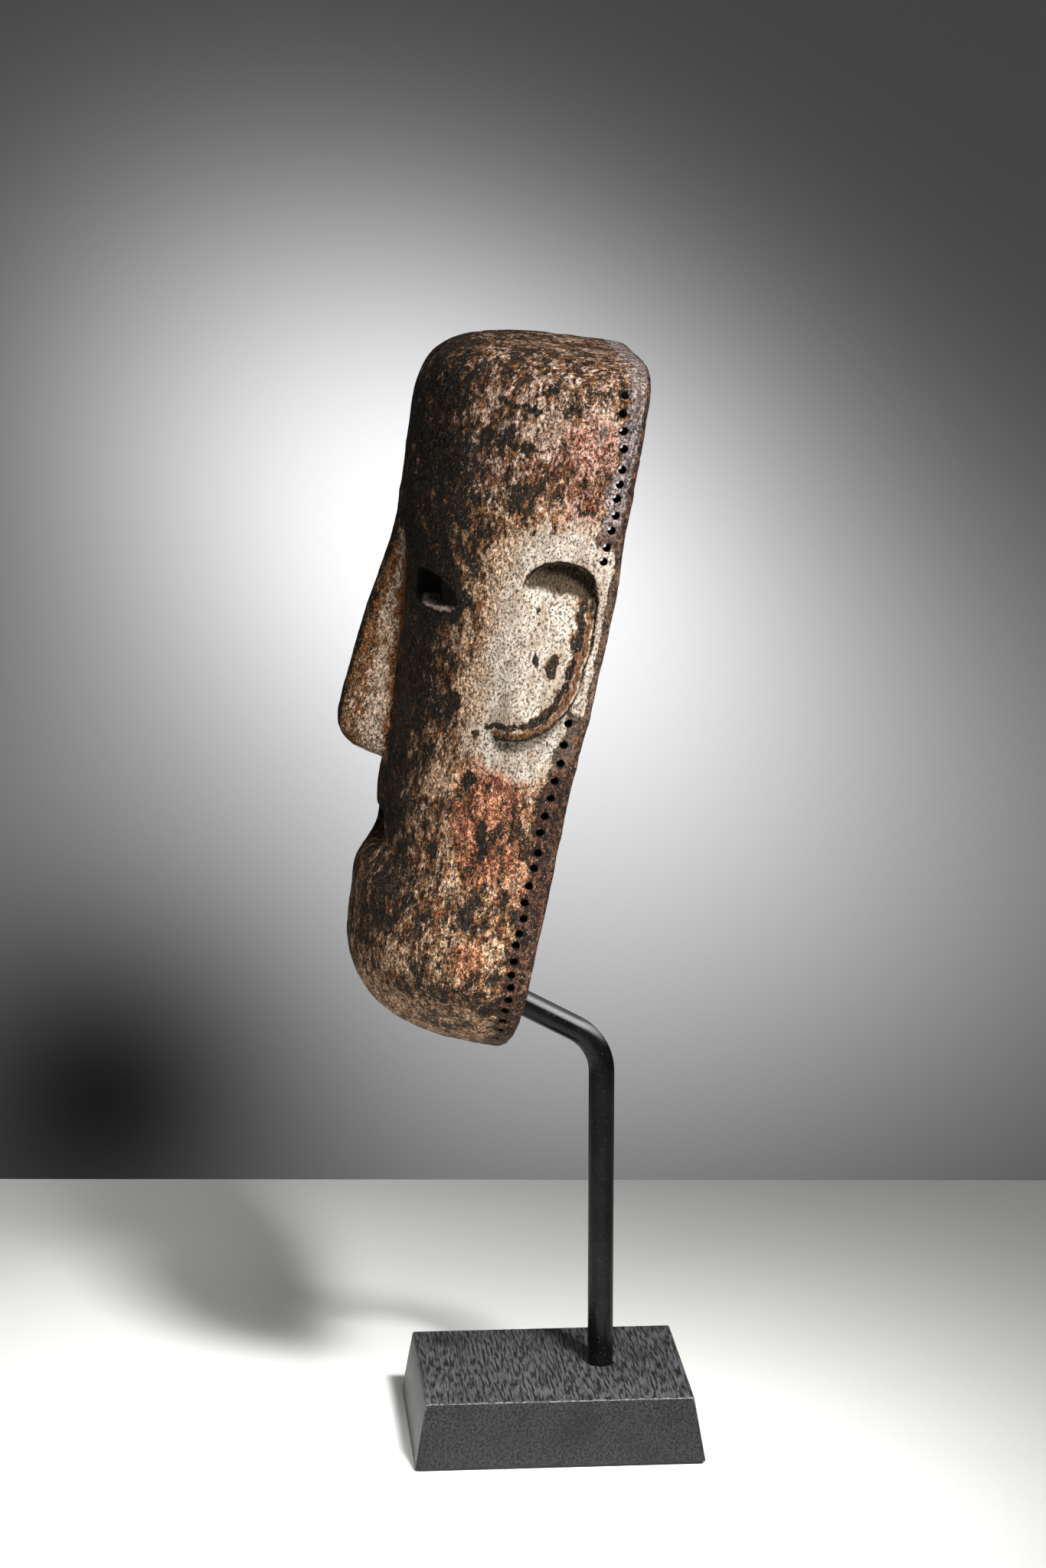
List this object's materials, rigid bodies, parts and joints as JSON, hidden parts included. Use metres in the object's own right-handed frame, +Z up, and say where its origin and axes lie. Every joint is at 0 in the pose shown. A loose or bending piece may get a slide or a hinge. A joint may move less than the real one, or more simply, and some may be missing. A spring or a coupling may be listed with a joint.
{
  "type": "carved wooden face mask on a rod stand",
  "caption": "Long hollow wooden face mask with slit eyes and mouth, jutting nose and C-shaped ears, held on a bent steel rod and a black block.",
  "frame": {"origin": "centre of the underside of the block, on the surface that the object stands on", "axes": "+Z up, -Y the way the mask faces, +X the mask's own left side"},
  "size_m": [0.1538, 0.1383, 0.4326],
  "materials": {
    "mask_wood": "old carved wood with dark patina and flaking cream and red earth pigment",
    "rod_steel": "satin black",
    "block_wood": "black stained wood, lightly polished",
    "lining_felt": "thin black felt"
  },
  "bodies": {
    "root": {"mask": "mask_wood", "stand_rod": "rod_steel", "stand_block": "block_wood", "block_lining": "lining_felt"}
  },
  "joints": []
}
